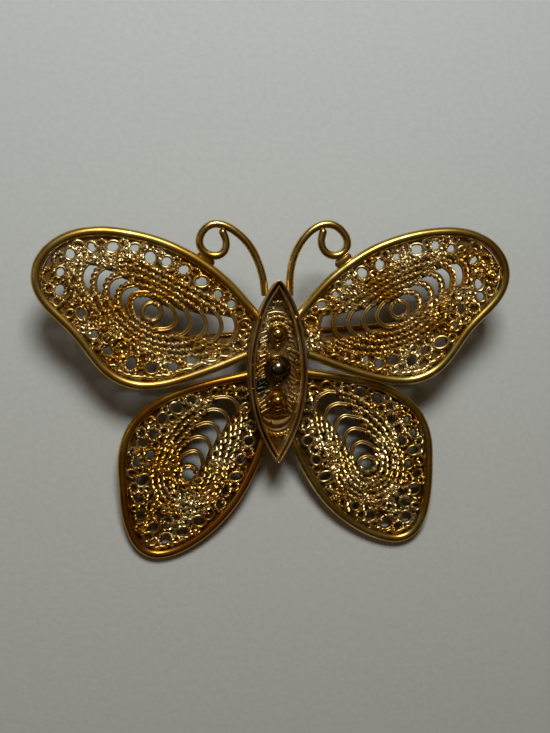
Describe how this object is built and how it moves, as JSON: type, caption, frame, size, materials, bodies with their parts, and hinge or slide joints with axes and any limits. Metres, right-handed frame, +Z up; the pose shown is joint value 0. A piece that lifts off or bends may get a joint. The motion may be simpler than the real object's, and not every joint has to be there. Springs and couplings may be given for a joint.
{
  "type": "insect brooch",
  "caption": "Gold-tone filigree butterfly brooch with pierced wings in round wire frames, a boat-shaped body with balls, curled antennae and a pin behind.",
  "frame": {"origin": "centre of the bounding box in X and Y, on the surface that the brooch lies on", "axes": "+X across the wings, toward the right-hand wings seen from the front; +Y toward the head; +Z up, out of the front, with the brooch lying on its pin and its lower wings"},
  "size_m": [0.0586, 0.0416, 0.0098],
  "materials": {
    "frame_gold": "polished",
    "filigree_gold": "satin",
    "pin_metal": "satin"
  },
  "bodies": {
    "root": {"forewing_frame_left": "frame_gold", "forewing_frame_right": "frame_gold", "hindwing_frame_left": "frame_gold", "hindwing_frame_right": "frame_gold", "forewing_filigree_left": "filigree_gold", "forewing_filigree_right": "filigree_gold", "hindwing_filigree_left": "filigree_gold", "hindwing_filigree_right": "filigree_gold", "body_cup": "filigree_gold", "bead_upper": "frame_gold", "bead_middle": "frame_gold", "bead_lower": "frame_gold", "antenna_left": "frame_gold", "antenna_right": "frame_gold", "brooch_pin": "pin_metal"}
  },
  "joints": []
}
